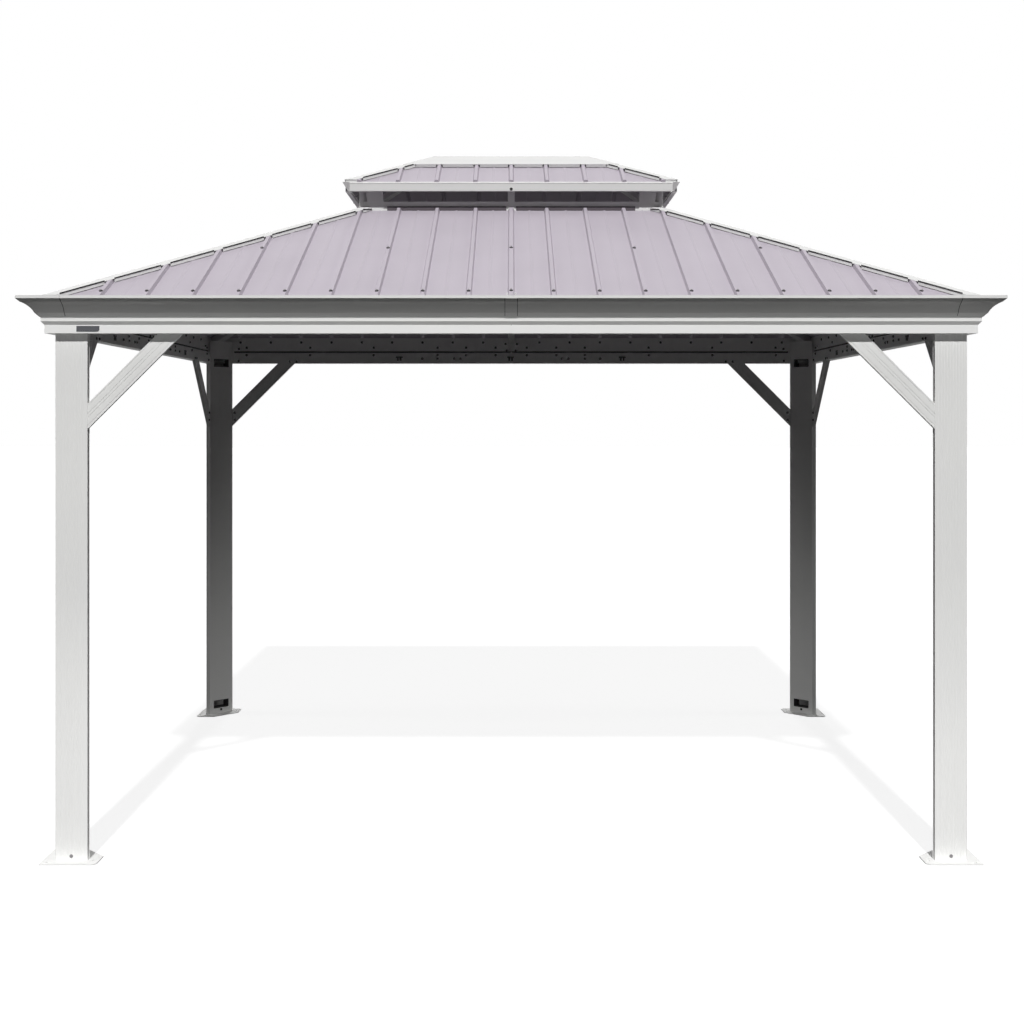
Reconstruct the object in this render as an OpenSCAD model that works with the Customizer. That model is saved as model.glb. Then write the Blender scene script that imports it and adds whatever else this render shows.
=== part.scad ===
// Double-roof hardtop gazebo on four corner posts, in millimetres.
// The origin is on the ground at the middle of the footprint.
// X runs along the ridge, the front faces -Y and Z is up.
// In the profiles below, v is the distance inwards from a side's outer post faces.

/* [Overall] */
// Length over the gutter rims
roof_l = 3650; // [3000:10:4600]
// Depth over the gutter rims
roof_w = 2920; // [2400:10:3500]
// Clear height under the eave beams
clear_h = 1983; // [1600:1:2400]
// Pitch of both roofs in degrees
roof_pitch = 24.7; // [20:0.1:30]

/* [Posts] */
// Outer width of each of the two faces of a post
post_leg = 122; // [100:1:150]
// Depth of the lip folded back from each face
post_lip = 20; // [18:1:26]
// Return of each lip behind the cover plate
post_return = 12; // [8:1:16]
// Wall of a post
post_wall = 2; // [1.5:0.5:3]
// Radius of the outer corner of a post
post_edge_r = 6; // [4:1:9]
// Number of shallow flutes on each face
flute_n = 9; // [3:1:9]
// Width of one flute
flute_w = 7; // [5:1:8]
// Depth of one flute
flute_d = 0.6; // [0.4:0.1:1.2]
// Distance of the outermost flutes from the edges of a face
flute_edge = 17; // [14:1:24]
// Thickness of a cover plate
cover_t = 2; // [1.5:0.5:3]
// Width of an access slot in a cover plate
slot_w = 90; // [60:1:100]
// Height of an access slot
slot_h = 38; // [24:1:50]
// Height of the middle of the lower slot
slot_low_z = 57; // [40:1:90]

/* [Base plates] */
// Width of the flange outside the post faces
plate_flange = 46; // [36:1:60]
// Length of each side of a plate
plate_l = 212; // [200:1:250]
// Width of the ends of a plate, beside its slanted inner edge
plate_end = 99; // [80:1:120]
// Cut on the outer corner of each end
plate_cut = 14; // [6:1:20]
// Thickness of a plate
plate_t = 4; // [3:0.5:8]
// Diameter of an anchor hole
anchor_d = 12; // [8:1:16]
// Distance of an anchor hole from the edge of its plate
anchor_edge = 22; // [16:1:26]

/* [Knee braces] */
// Width of a brace
brace_w = 67; // [50:1:80]
// Thickness of a brace
brace_t = 16; // [12:1:17]
// Run of the lower edge along the post and along the beam
brace_run = 357; // [250:1:500]
// Wall of a brace
brace_wall = 2; // [1.5:0.5:3]
// Width of a groove along the faces of a brace
groove_w = 4; // [3:1:6]
// Depth of a groove
groove_d = 1; // [0.4:0.1:1.2]
// Distance of the outer grooves from the edges of a brace
groove_edge = 7.5; // [6:0.5:12]
// Distance between the two grooves at the middle of a brace
groove_pair = 10; // [7:1:16]

/* [Eave beams] */
// How far the band of a beam stands outside the post faces
band_out = 30; // [20:1:40]
// Height of the band
band_h = 31; // [24:1:45]
// How far the fillet stands outside the band
fillet_out = 11; // [6:1:16]
// Height of the sloped soffit between band and fillet
soffit_h = 13; // [8:1:20]
// Height of the fillet
fillet_h = 16; // [8:1:20]
// Wall of a beam
beam_wall = 2; // [1.5:0.5:3]
// Gap between the two halves of a long beam
beam_gap = 1; // [0.5:0.5:3]

/* [Gutter] */
// How far the rim stands outside the post faces
rim_out = 111; // [95:1:140]
// Height of the rim
rim_h = 11; // [6:1:20]
// Width of the hem folded inwards at the top of the rim
rim_hem = 8; // [5:1:12]
// How far the sloped lip stands out under the rim
lip_out = 13; // [8:1:18]
// Height of the sloped lip
lip_h = 12; // [8:1:18]
// Height of the hollow moulding
cove_h = 52; // [45:1:70]
// Radius of the hollow moulding
cove_r = 73; // [60:1:100]
// How far the foot of the moulding stands outside the post faces
foot_out = 44; // [42:1:50]
// Width and height of the chamfer between the moulding and its foot
foot_cut = 14; // [6:1:20]
// Distance of the back wall inside the post faces
gutter_back = 10; // [6:1:14]
// Wall of the gutter
gutter_wall = 2; // [1.5:0.5:3]
// Length of a corner piece, from the corner of the rim
corner_l = 165; // [150:1:300]
// Width of the splice cover at the middle of a long gutter
splice_w = 45; // [30:1:80]
// Thickness of the splice cover
splice_t = 1.5; // [1:0.5:3]
// Gap between neighbouring gutter pieces
seam_gap = 1; // [0.5:0.5:3]

/* [Roof sheets] */
// Thickness of a sheet
sheet_t = 1.5; // [1:0.5:3]
// Height of the sheet's underside over the rim, at the post faces
roof_lift = 6; // [4:1:20]
// How far the lower sheets reach outside the post faces
roof_over = 30; // [15:1:45]
// Width of a rib at its foot
rib_w = 24; // [20:1:30]
// Width of a rib at its crest
rib_crest = 14; // [8:1:18]
// Height of a rib
rib_h = 14; // [8:1:20]
// Spacing of the ribs
rib_gap = 173; // [120:1:250]
// Distance of the first rib from the seam at the middle of a long slope
rib_first = 160; // [100:1:220]
// Width of the shallow stiffener between two ribs
pencil_w = 14; // [8:1:20]
// Height of the shallow stiffener
pencil_h = 1.6; // [0.8:0.1:2.4]
// Gap between the two sheets of a long slope
sheet_gap = 8; // [4:1:12]
// Gap between a sheet and the line of a hip
hip_gap = 4; // [2:1:10]

/* [Caps] */
// Thickness of the seam, hip and ridge caps
cap_t = 1.5; // [1:0.5:3]
// Width of the flanges of a seam cover
seam_flange = 10; // [6:1:14]
// Width of each wing of a hip cap, measured along the eave
cap_w = 50; // [40:1:80]
// How far the ridge cap reaches past the ends of the hip caps
ridge_lap = 77; // [10:1:110]
// Clearance of the caps' flanges around the ribs and over the sheets
notch_gap = 3; // [1:0.5:5]

/* [Rafters] */
// Width of a centre rafter
rafter_w = 38; // [30:1:50]
// Height of a centre rafter
rafter_h = 40; // [30:1:60]
// Width of a lower hip rafter
hip_w = 40; // [30:1:50]
// Height of a lower hip rafter
hip_h = 44; // [34:1:60]
// Distance of the purlins inside the post faces
purlin_v = 583; // [400:1:650]
// Width of a purlin
purlin_w = 30; // [20:1:40]
// Height of a purlin
purlin_h = 20; // [15:1:30]
// Wall of the rafters and purlins
tube_wall = 2; // [1.5:0.5:3]

/* [Vent] */
// Width of the opening in the lower roof, across the ridge
vent_w = 620; // [450:1:800]
// Thickness of a vent rail
rail_t = 25; // [20:1:40]
// Height of a vent rail above the lower sheets
rail_up = 43; // [25:1:60]
// Depth of a vent rail below the lower sheets
rail_down = 45; // [42:1:70]
// Height of the open gap over the vent rails
vent_gap = 37; // [25:1:80]
// Thickness of the uprights, struts and corner plates
strut_t = 4; // [3:0.5:6]
// Width of the strut at the middle of each long side
strut_w = 31; // [20:1:50]
// Width of an upright at its top
upright_top_w = 79; // [60:1:100]
// Width of an upright at its foot
upright_foot_w = 65; // [50:1:90]
// Distance of an upright's top from the corner of the opening
upright_top_in = 16; // [12:1:30]
// Distance of an upright's foot from the corner of the opening
upright_foot_in = 38; // [30:1:50]
// Height of the arm and width of the leg of a corner plate
plate_arm = 8; // [6:1:14]

/* [Upper roof] */
// How far the upper eave stands outside the opening in the lower roof
upper_over = 77; // [60:1:120]
// Height of the fascia
fascia_h = 38; // [30:1:60]
// Wall of the fascia
fascia_wall = 2; // [1.5:0.5:3]
// Width of the flange at the foot of the fascia
fascia_flange = 20; // [12:1:30]
// How far the top of a fascia corner stands outside the fascia
ear_out = 10; // [6:1:16]
// Slope of a fascia corner, from its top to its foot
ear_flare = 22; // [12:1:26]
// Length of a fascia corner along each side
ear_l = 30; // [24:1:60]
// How far the upper sheets tuck under the top of the fascia and clear it
tuck = 3; // [2:0.5:6]
// Width of the ridge beam and the upper hip rafters
upper_bar_w = 30; // [20:1:40]
// Height of the ridge beam and the upper hip rafters
upper_bar_h = 30; // [20:1:40]

/* [Hidden] */

frame_colour = "gainsboro";
sheet_colour = "thistle";
inner_colour = "lightgrey";

// Sides and corners are numbered front, right, back, left and front-left onwards
front = 0;
right = 1;
back = 2;
left = 3;
sides = [front, right, back, left];

root2 = sqrt(2);
rise = tan(roof_pitch);
arc_steps = 8;
overcut = 1;
tip = 0.5;
plan_margin = 300;

// Half distances between the outer post faces
post_x = roof_l / 2 - rim_out;
post_y = roof_w / 2 - rim_out;

// Heights of the eave
beam_h = band_h + soffit_h + fillet_h;
gutter_z = clear_h + beam_h;
crown_h = cove_h + lip_h + rim_h;
eave_z = gutter_z + crown_h + roof_lift;

// Lower roof: the underside of the sheets at v, and where the sheets end at the vent
vent_v = post_y - vent_w / 2;
rail_v = vent_v + strut_t;
rail_foot_z = low_z(vent_v) - rail_down;
rail_z = low_z(vent_v) + rail_up;

// Upper roof: the fascia, the underside of the sheets at v = 0 and the hips
upper_v = vent_v - upper_over;
fascia_v = upper_v + ear_out;
fascia_z = rail_z + vent_gap;
fascia_top = fascia_z + fascia_h;
upper_foot_v = fascia_v + fascia_wall + tuck;
upper_z = fascia_top - tuck - rise * upper_foot_v;
upper_drop = rise * upper_bar_w / 2 / root2;

// Height of the tops of ribs and caps over the underside of a sheet, square to the slope
crest_n = sheet_t + rib_h;
cap_n = crest_n + cap_t;
top_h = upper_z + rise * post_y + 2 * cap_n;

// Hip line where the cover plates stand, and the height of the rafter's underside there
cover_v = (post_leg + post_lip) / 2;
hip_drop = rise * hip_w / 2 / root2;
cover_top = low_z(cover_v) - hip_drop - hip_h;

function low_z(v) = eave_z + rise * v;
function up_z(v) = upper_z + rise * v;
function upper_hip_foot(v) = up_z(v) - upper_drop - upper_bar_h;
function half_run(k) = k % 2 == 0 ? post_x : post_y;
function half_depth(k) = k % 2 == 0 ? post_y : post_x;

// Outlines: a folded sheet is a line and the same line shifted to its left
function unit(d) = d / norm(d);
function left_of(d) = [-d[1], d[0]];
function reversed(line) = [for (i = [len(line) - 1 : -1 : 0]) line[i]];
function normal_before(line, i) = unit(left_of(i > 0 ? line[i] - line[i - 1] : line[1] - line[0]));
function normal_after(line, i) =
    i < len(line) - 1 ? unit(left_of(line[i + 1] - line[i])) : normal_before(line, i);
function shifted(line, t) = [
    for (i = [0 : len(line) - 1])
        let (a = normal_before(line, i), b = normal_after(line, i)) line[i] + t * (a + b) / (1 + a * b)
];
function folded(line, t) = concat(line, reversed(shifted(line, t)));

// Inner wall of a closed outline that runs anticlockwise
function inset(outline, t) =
    let (n = len(outline), line = concat([outline[n - 1]], outline, [outline[0]]), moved = shifted(line, t))
    [for (i = [1 : n]) moved[i]];

// Points of an arc of radius r from p to q, with its centre to the right of the way from p to q
function arc(p, q, r) =
    let (
        half = norm(q - p) / 2,
        c = (p + q) / 2 - left_of(unit(q - p)) * sqrt(r * r - half * half),
        a0 = atan2(p[1] - c[1], p[0] - c[0]),
        a1 = atan2(q[1] - c[1], q[0] - c[0])
    )
    [for (i = [0 : arc_steps]) let (a = a0 + (a1 - a0) * i / arc_steps) c + r * [cos(a), sin(a)]];

// Rib places: the middle, then outwards on both sides up to a limit
function rib_side(first, limit) = [for (x = [first : rib_gap : limit]) x];
function rib_start(k) = k % 2 == 0 ? rib_first : rib_gap;
function rib_row(first, limit) = concat(-1 * reversed(rib_side(first, limit)), [0], rib_side(first, limit));

// A ribbed sheet between x0 and x1, seen along its ribs, with a shallow stiffener beside each rib
function bump(x, foot, crest, h) = [
    [x - foot / 2, sheet_t], [x - crest / 2, sheet_t + h], [x + crest / 2, sheet_t + h], [x + foot / 2, sheet_t]
];
function sheet_line(x0, x1, ribs) = concat(
    [[x0, sheet_t]],
    [
        for (i = [0 : len(ribs) - 1])
            let (before = i > 0 ? ribs[i - 1] : x0, wide = ribs[i] - before > rib_gap / 2)
            each concat(
                wide ? bump((before + ribs[i]) / 2, pencil_w, pencil_w / 3, pencil_h) : [],
                bump(ribs[i], rib_w, rib_crest, rib_h)
            )
    ],
    [[x1, sheet_t]]
);

// Places a shape drawn for the front at side k
module side(k) {
    rotate([0, 0, 90 * k]) children();
}

// Places a shape at corner k, with X and Y along the two post faces, inwards
module corner(k) {
    translate([[-1, 1, 1, -1][k] * post_x, [-1, -1, 1, 1][k] * post_y, 0]) rotate([0, 0, 90 * k]) children();
}

// Extrudes a profile in v and z along side k
module run(k, x0, x1) {
    side(k) translate([(x0 + x1) / 2, -half_depth(k), 0]) rotate([90, 0, 90])
        linear_extrude(x1 - x0, center = true) children();
}

// Extrudes an outline in x and z through side k, from v0 inwards
module panel(k, v0, t) {
    side(k) translate([0, v0 + t - half_depth(k), 0]) rotate([90, 0, 0]) linear_extrude(t) children();
}

// Extrudes a profile in x and the slope's normal up the slope of side k, on the plane base + rise * v
module slope(k, base, v0, v1) {
    side(k) translate([0, v1 - half_depth(k), base + rise * v1]) rotate([90 + roof_pitch, 0, 0])
        linear_extrude((v1 - v0) / cos(roof_pitch)) children();
}

// The plan of side k out to its hip lines, less a gap along them; a short side ends in a narrow tip
module hip_plan(k, gap = 0) {
    deep = k % 2 == 0 ? post_y : post_y - gap - tip;
    x_in = half_run(k) - deep - gap;
    x_out = half_run(k) + plan_margin - gap;
    y_in = deep - half_depth(k);
    y_out = -plan_margin - half_depth(k);
    side(k) linear_extrude(top_h) polygon([[-x_in, y_in], [-x_out, y_out], [x_out, y_out], [x_in, y_in]]);
}

// The plan of a strip of width w beside one hip line of side k, and over the line; end is -1 or 1
module hip_strip(k, end, w, over = 0) {
    deep = post_y - tip;
    inner = [half_run(k) - deep, deep - half_depth(k)];
    outer = [half_run(k) + plan_margin, -plan_margin - half_depth(k)];
    strip = [inner + [over, 0], outer + [over, 0], outer - [w, 0], inner - [w, 0]];
    side(k) linear_extrude(top_h) polygon([for (p = strip) [end * p[0], p[1]]]);
}

// A bar in the vertical plane of hip k, hanging below the plane base + rise * v
module hip_bar(k, base, v0, v1, w, h, drop) {
    function under(v, d) = [v * root2, base + rise * v - d];
    corner(k) rotate([90, 0, 45]) difference() {
        linear_extrude(w, center = true)
            polygon([under(v0, drop), under(v1, drop), under(v1, drop + h), under(v0, drop + h)]);
        linear_extrude(w - 2 * tube_wall, center = true)
            polygon([
                under(v0 - overcut, drop + tube_wall), under(v1 + overcut, drop + tube_wall),
                under(v1 + overcut, drop + h - tube_wall), under(v0 - overcut, drop + h - tube_wall)
            ]);
    }
}

// Posts
flute_step = (post_leg - 2 * flute_edge) / (flute_n - 1);
flute_line = [
    for (i = [0 : flute_n - 1])
        let (x = flute_edge + i * flute_step)
        each [[x - flute_w / 2, 0], [x - flute_w / 4, flute_d], [x + flute_w / 4, flute_d], [x + flute_w / 2, 0]]
];
post_face = concat(
    [for (a = [45 : 15 : 90]) post_edge_r * [1 - cos(a), 1 - sin(a)]],
    flute_line,
    [[post_leg, 0], [post_leg, post_lip], [post_leg - post_return, post_lip + post_return]]
);
post_mirror = [for (i = [len(post_face) - 1 : -1 : 1]) [post_face[i][1], post_face[i][0]]];

module post(k) {
    color(frame_colour) corner(k) translate([0, 0, plate_t]) linear_extrude(clear_h - plate_t)
        polygon(folded(concat(post_mirror, post_face), post_wall));
}

module post_covers() {
    half = (post_leg - post_lip) / root2;
    color(frame_colour) for (k = sides) corner(k) rotate([0, 0, 45]) difference() {
        translate([cover_v * root2, -half, plate_t]) cube([cover_t, 2 * half, cover_top - plate_t]);
        for (z = [slot_low_z, clear_h])
            translate([cover_v * root2 - overcut, -slot_w / 2, z - slot_h / 2])
                cube([cover_t + 2 * overcut, slot_w, slot_h]);
    }
}

module base_plates() {
    near = anchor_edge;
    far = plate_l - anchor_edge;
    middle = plate_end / 2;
    color(frame_colour) for (k = sides) corner(k) translate([-plate_flange, -plate_flange, 0]) difference() {
        linear_extrude(plate_t)
            polygon([
                [0, 0], [plate_l - plate_cut, 0], [plate_l, plate_cut], [plate_l, plate_end],
                [plate_end, plate_l], [plate_cut, plate_l], [0, plate_l - plate_cut]
            ]);
        for (p = [[near, near], [far, middle], [middle, far]])
            translate([p[0], p[1], -overcut]) cylinder(d = anchor_d, h = plate_t + 2 * overcut, $fn = 48);
    }
}

// Knee braces: a strip between two distances from the lower edge, past its ends by more
function brace_strip(low, high, more) = [
    [-more, low * root2 - brace_run - more], [brace_run - low * root2 + more, more],
    [brace_run - high * root2 + more, more], [-more, high * root2 - brace_run - more]
];

module brace(k) {
    v0 = (post_lip - brace_t) / 2;
    grooves = [groove_edge, (brace_w - groove_pair) / 2, (brace_w + groove_pair) / 2, brace_w - groove_edge];
    module body() translate([post_leg - half_run(k), clear_h]) children();
    difference() {
        panel(k, v0, brace_t) body() polygon(brace_strip(0, brace_w, 0));
        panel(k, v0 + brace_wall, brace_t - 2 * brace_wall)
            body() polygon(brace_strip(brace_wall, brace_w - brace_wall, overcut));
        for (at = grooves, v = [v0 - overcut, v0 + brace_t - groove_d])
            panel(k, v, groove_d + overcut) body()
                polygon(brace_strip(at - groove_w / 2, at + groove_w / 2, overcut));
    }
}

module knee_braces(k) {
    color(frame_colour) {
        brace(k);
        side(k) mirror([1, 0, 0]) side(-k) brace(k);
    }
}

// Eave beams
beam_line = [
    [-band_out, 0], [post_lip, 0], [post_lip, beam_h], [-band_out - fillet_out, beam_h],
    [-band_out - fillet_out, beam_h - fillet_h], [-band_out, band_h]
];

module beam_profile() {
    translate([0, clear_h]) difference() {
        polygon(beam_line);
        polygon(inset(beam_line, beam_wall));
    }
}

module beam(k, halves) {
    x1 = half_run(k) + band_out + fillet_out + overcut;
    color(frame_colour) intersection() {
        union() {
            if (halves) {
                run(k, -x1, -beam_gap / 2) beam_profile();
                run(k, beam_gap / 2, x1) beam_profile();
            } else run(k, -x1, x1) beam_profile();
        }
        hip_plan(k);
    }
}

// Gutter
lip_foot = [lip_out - rim_out, cove_h];
cove_foot = [-foot_out - foot_cut, foot_cut];
cove_line = concat(
    [[-rim_out, crown_h], [-rim_out, crown_h - rim_h]], arc(lip_foot, cove_foot, cove_r), [[-foot_out, 0]]
);
gutter_top = low_z(gutter_back - gutter_wall) - gutter_z;
gutter_line = concat(
    [[rim_hem - rim_out, crown_h]], cove_line, [[gutter_back, 0], [gutter_back, gutter_top]]
);

module gutter_profile() {
    translate([0, gutter_z]) polygon(folded(gutter_line, gutter_wall));
}

module gutter(k, halves) {
    x1 = half_run(k) + rim_out - corner_l;
    color(frame_colour)
        if (halves) {
            run(k, -x1, -seam_gap / 2) gutter_profile();
            run(k, seam_gap / 2, x1) gutter_profile();
        } else run(k, -x1, x1) gutter_profile();
}

module gutter_corners() {
    color(frame_colour) for (k = sides) {
        before = (k + 3) % 4;
        x_end = half_run(k) + rim_out;
        x_before = half_run(before) + rim_out;
        union() {
            intersection() {
                run(k, -x_end, corner_l - seam_gap - x_end) gutter_profile();
                hip_plan(k);
            }
            intersection() {
                run(before, x_before - corner_l + seam_gap, x_before) gutter_profile();
                hip_plan(before);
            }
        }
    }
}

module gutter_splices() {
    color(frame_colour) for (k = [front, back])
        run(k, -splice_w / 2, splice_w / 2) translate([0, gutter_z]) polygon(folded(cove_line, -splice_t));
}

// Rafters under the lower roof
module lower_hip_rafters() {
    color(inner_colour) for (k = sides)
        hip_bar(k, eave_z, gutter_back + hip_w / 2 / root2, rail_v, hip_w, hip_h, hip_drop);
}

module centre_rafters() {
    function bar(v0, v1, d0, d1) = [
        [v0, low_z(v0) - d0], [v0, low_z(v0) - d1], [v1, low_z(v1) - d1], [v1, low_z(v1) - d0]
    ];
    color(inner_colour) for (k = sides) {
        v1 = k % 2 == 0 ? vent_v : rail_v;
        difference() {
            run(k, -rafter_w / 2, rafter_w / 2) polygon(bar(gutter_back, v1, 0, rafter_h));
            run(k, tube_wall - rafter_w / 2, rafter_w / 2 - tube_wall)
                polygon(bar(gutter_back - overcut, v1 + overcut, tube_wall, rafter_h - tube_wall));
        }
    }
}

module purlins() {
    color(inner_colour) for (k = sides, end = [-1, 1]) intersection() {
        run(k, min(end * rafter_w / 2, end * half_run(k)), max(end * rafter_w / 2, end * half_run(k)))
            translate([purlin_v, low_z(purlin_v)]) rotate(roof_pitch) difference() {
                translate([-purlin_w / 2, -purlin_h]) square([purlin_w, purlin_h]);
                translate([tube_wall - purlin_w / 2, tube_wall - purlin_h])
                    square([purlin_w - 2 * tube_wall, purlin_h - 2 * tube_wall]);
            }
        hip_plan(k, hip_w / 2 * root2);
    }
}

// Lower roof
function lower_ribs(k) = rib_row(rib_start(k), half_run(k) - rib_w);

module lower_roof(k) {
    x1 = half_run(k) + roof_over;
    half_sheet = folded(sheet_line(sheet_gap / 2, x1, rib_side(rib_first, half_run(k) - rib_w)), -sheet_t);
    color(sheet_colour) intersection() {
        slope(k, eave_z, -roof_over, vent_v)
            if (k % 2 == 0) {
                polygon(half_sheet);
                mirror([1, 0]) polygon(half_sheet);
            } else polygon(folded(sheet_line(-x1, x1, lower_ribs(k)), -sheet_t));
        hip_plan(k, hip_gap);
    }
}

module roof_seam_covers() {
    foot = rib_w / 2 + cap_t;
    crest = rib_crest / 2 + cap_t;
    line = [[foot + seam_flange, 0], [foot, 0], [crest, rib_h], [-crest, rib_h], [-foot, 0], [-foot - seam_flange, 0]];
    color(sheet_colour) for (k = [front, back])
        slope(k, eave_z, -roof_over, vent_v) translate([0, sheet_t + cap_t]) polygon(folded(line, cap_t));
}

// A wing of a hip cap on side k, resting on the ribs, with a flange down to the sheet between them
module hip_wing(k, end, base, v0, v1, ribs) {
    foot = sheet_t + notch_gap;
    wide = 2 * (post_x + plan_margin);
    difference() {
        intersection() {
            slope(k, base, v0, v1) translate([-wide / 2, foot]) square([wide, crest_n + cap_t - foot]);
            hip_strip(k, end, cap_w);
        }
        intersection() {
            slope(k, base, v0 - cap_w, v1 + cap_w) translate([-wide / 2, 0]) square([wide, crest_n]);
            hip_strip(k, end, cap_w - cap_t * root2, overcut);
        }
        slope(k, base, v0 - overcut, v1 + overcut) for (x = ribs)
            translate([x - rib_w / 2 - notch_gap, 0]) square([rib_w + 2 * notch_gap, crest_n]);
    }
}

module hip_caps(base, v0, v1, upper) {
    color(frame_colour) for (k = sides) union() {
        before = (k + 3) % 4;
        hip_wing(k, -1, base, v0, v1, upper ? upper_ribs(k) : lower_ribs(k));
        hip_wing(before, 1, base, v0, v1, upper ? upper_ribs(before) : lower_ribs(before));
    }
}

module lower_hip_caps() {
    hip_caps(eave_z, -roof_over, vent_v, false);
}

// Vent between the roofs
module rail_profile() {
    rail_h = rail_z - rail_foot_z;
    translate([rail_v, rail_foot_z]) difference() {
        square([rail_t, rail_h]);
        translate([tube_wall, tube_wall]) square([rail_t - 2 * tube_wall, rail_h - 2 * tube_wall]);
    }
}

module vent_long_rails() {
    x1 = post_x - rail_v;
    color(inner_colour) for (k = [front, back]) run(k, -x1, x1) rail_profile();
}

module vent_end_rails() {
    x1 = post_y - rail_v - rail_t;
    color(inner_colour) for (k = [right, left]) run(k, -x1, x1) rail_profile();
}

module vent_uprights() {
    z1 = upper_hip_foot(vent_v);
    color(inner_colour) for (k = sides, end = [-1, 1]) {
        x_corner = half_run(k) - vent_v;
        x_foot = x_corner - upright_foot_in;
        x_top = x_corner - upright_top_in;
        panel(k, vent_v, strut_t)
            polygon([
                [end * x_foot, rail_foot_z], [end * x_top, z1],
                [end * (x_top - upright_top_w), z1], [end * (x_foot - upright_foot_w), rail_foot_z]
            ]);
    }
}

module vent_corner_plates() {
    v_top = upper_v + ear_flare + 2 * fascia_wall;
    v_leg = vent_v - plate_arm;
    v_in = rail_v + rail_t;
    function at(v, z) = [v * root2, z];
    function cap_top(v) = low_z(v) + cap_n / cos(roof_pitch);
    color(inner_colour) for (k = sides) corner(k) rotate([90, 0, 45]) linear_extrude(strut_t, center = true)
        polygon([
            at(v_top, upper_hip_foot(v_top)), at(v_top, upper_hip_foot(v_top) - plate_arm),
            at(v_leg, upper_hip_foot(v_leg) - plate_arm), at(v_leg, cap_top(v_leg)), at(rail_v, cap_top(rail_v)),
            at(rail_v, rail_z), at(v_in, rail_z), at(v_in, upper_hip_foot(v_in))
        ]);
}

module vent_struts() {
    color(inner_colour) for (k = [front, back])
        panel(k, vent_v, strut_t)
            translate([-strut_w / 2, rail_foot_z]) square([strut_w, up_z(vent_v) - rail_foot_z]);
}

// Upper eave
module upper_fascia_rails() {
    line = [[fascia_v, fascia_top], [fascia_v, fascia_z], [fascia_v + fascia_flange, fascia_z]];
    color(frame_colour) for (k = sides) {
        x1 = half_run(k) - upper_v - ear_l - seam_gap;
        run(k, -x1, x1) polygon(folded(line, fascia_wall));
    }
}

module upper_fascia_corners() {
    line = [[upper_v, fascia_top], [upper_v + ear_flare, fascia_z]];
    color(frame_colour) for (k = sides) {
        before = (k + 3) % 4;
        x_end = half_run(k) - upper_v;
        x_before = half_run(before) - upper_v;
        union() {
            intersection() {
                run(k, -x_end, ear_l - x_end) polygon(folded(line, fascia_wall));
                hip_plan(k);
            }
            intersection() {
                run(before, x_before - ear_l, x_before) polygon(folded(line, fascia_wall));
                hip_plan(before);
            }
        }
    }
}

// Upper frame: the ridge beam reaches to the ends of the upper hip rafters
ridge_reach = upper_bar_w / 2 * (1 + root2);
upper_hip_end = post_y - ridge_reach / root2;
ridge_half = post_x - post_y + (ridge_reach + upper_bar_w / 2) / root2;
ridge_top = up_z(post_y) - rise * (ridge_half - post_x + post_y);

module ridge_beam() {
    w = upper_bar_w;
    h = upper_bar_h;
    inner = [w - 2 * tube_wall, h - 2 * tube_wall];
    color(inner_colour) run(front, -ridge_half, ridge_half) translate([post_y, ridge_top - h / 2]) difference() {
        square([w, h], center = true);
        square(inner, center = true);
    }
}

module upper_hip_rafters() {
    v0 = upper_v + ear_flare + 2 * fascia_wall + upper_bar_w / 2 / root2;
    color(inner_colour) for (k = sides)
        hip_bar(k, upper_z, v0, upper_hip_end, upper_bar_w, upper_bar_h, upper_drop);
}

// Upper roof
function upper_ribs(k) = rib_row(rib_start(k), half_run(k) - upper_foot_v - rib_w);

module upper_roof(k) {
    x1 = half_run(k) - upper_foot_v;
    color(sheet_colour) intersection() {
        slope(k, upper_z, upper_foot_v, post_y - hip_gap)
            polygon(folded(sheet_line(-x1, x1, upper_ribs(k)), -sheet_t));
        hip_plan(k, hip_gap);
    }
}

// The upper hip caps stop where those of one end would meet
upper_cap_end = post_y - cap_w - seam_gap;

module upper_hip_caps() {
    hip_caps(upper_z, upper_foot_v, upper_cap_end, true);
}

// The ridge cap lies on the hip caps and covers their ends; its long flanges are notched around the ribs
module ridge_cap() {
    v0 = upper_cap_end - ridge_lap;
    x_flange = post_x - v0 - cap_w - notch_gap;
    foot = sheet_t + notch_gap;
    color(frame_colour) union() {
        for (k = sides) intersection() {
            slope(k, upper_z, v0, post_y + ridge_lap) translate([-post_x, cap_n]) square([2 * post_x, cap_t]);
            hip_plan(k);
        }
        for (k = [front, back]) slope(k, upper_z, v0, v0 + cap_t) difference() {
            translate([-x_flange, foot]) square([2 * x_flange, cap_n + cap_t - foot]);
            for (x = upper_ribs(k))
                translate([x - rib_w / 2 - notch_gap, 0]) square([rib_w + 2 * notch_gap, crest_n + cap_t / 2]);
        }
    }
}

post(0);  // post_front_left
post(1);  // post_front_right
post(2);  // post_back_right
post(3);  // post_back_left
post_covers();
base_plates();
knee_braces(front);  // front_knee_braces
knee_braces(right);  // right_knee_braces
knee_braces(back);  // back_knee_braces
knee_braces(left);  // left_knee_braces
beam(front, true);  // front_beam
beam(right, false);  // right_beam
beam(back, true);  // back_beam
beam(left, false);  // left_beam
gutter(front, true);  // front_gutter
gutter(right, false);  // right_gutter
gutter(back, true);  // back_gutter
gutter(left, false);  // left_gutter
gutter_corners();
gutter_splices();
lower_hip_rafters();
centre_rafters();
purlins();
lower_roof(front);  // front_roof
lower_roof(right);  // right_roof
lower_roof(back);  // back_roof
lower_roof(left);  // left_roof
roof_seam_covers();
lower_hip_caps();
vent_long_rails();
vent_end_rails();
vent_uprights();
vent_corner_plates();
vent_struts();
upper_fascia_rails();
upper_fascia_corners();
ridge_beam();
upper_hip_rafters();
upper_roof(front);  // upper_front_roof
upper_roof(right);  // upper_right_roof
upper_roof(back);  // upper_back_roof
upper_roof(left);  // upper_left_roof
upper_hip_caps();
ridge_cap();
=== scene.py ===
import math

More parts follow.
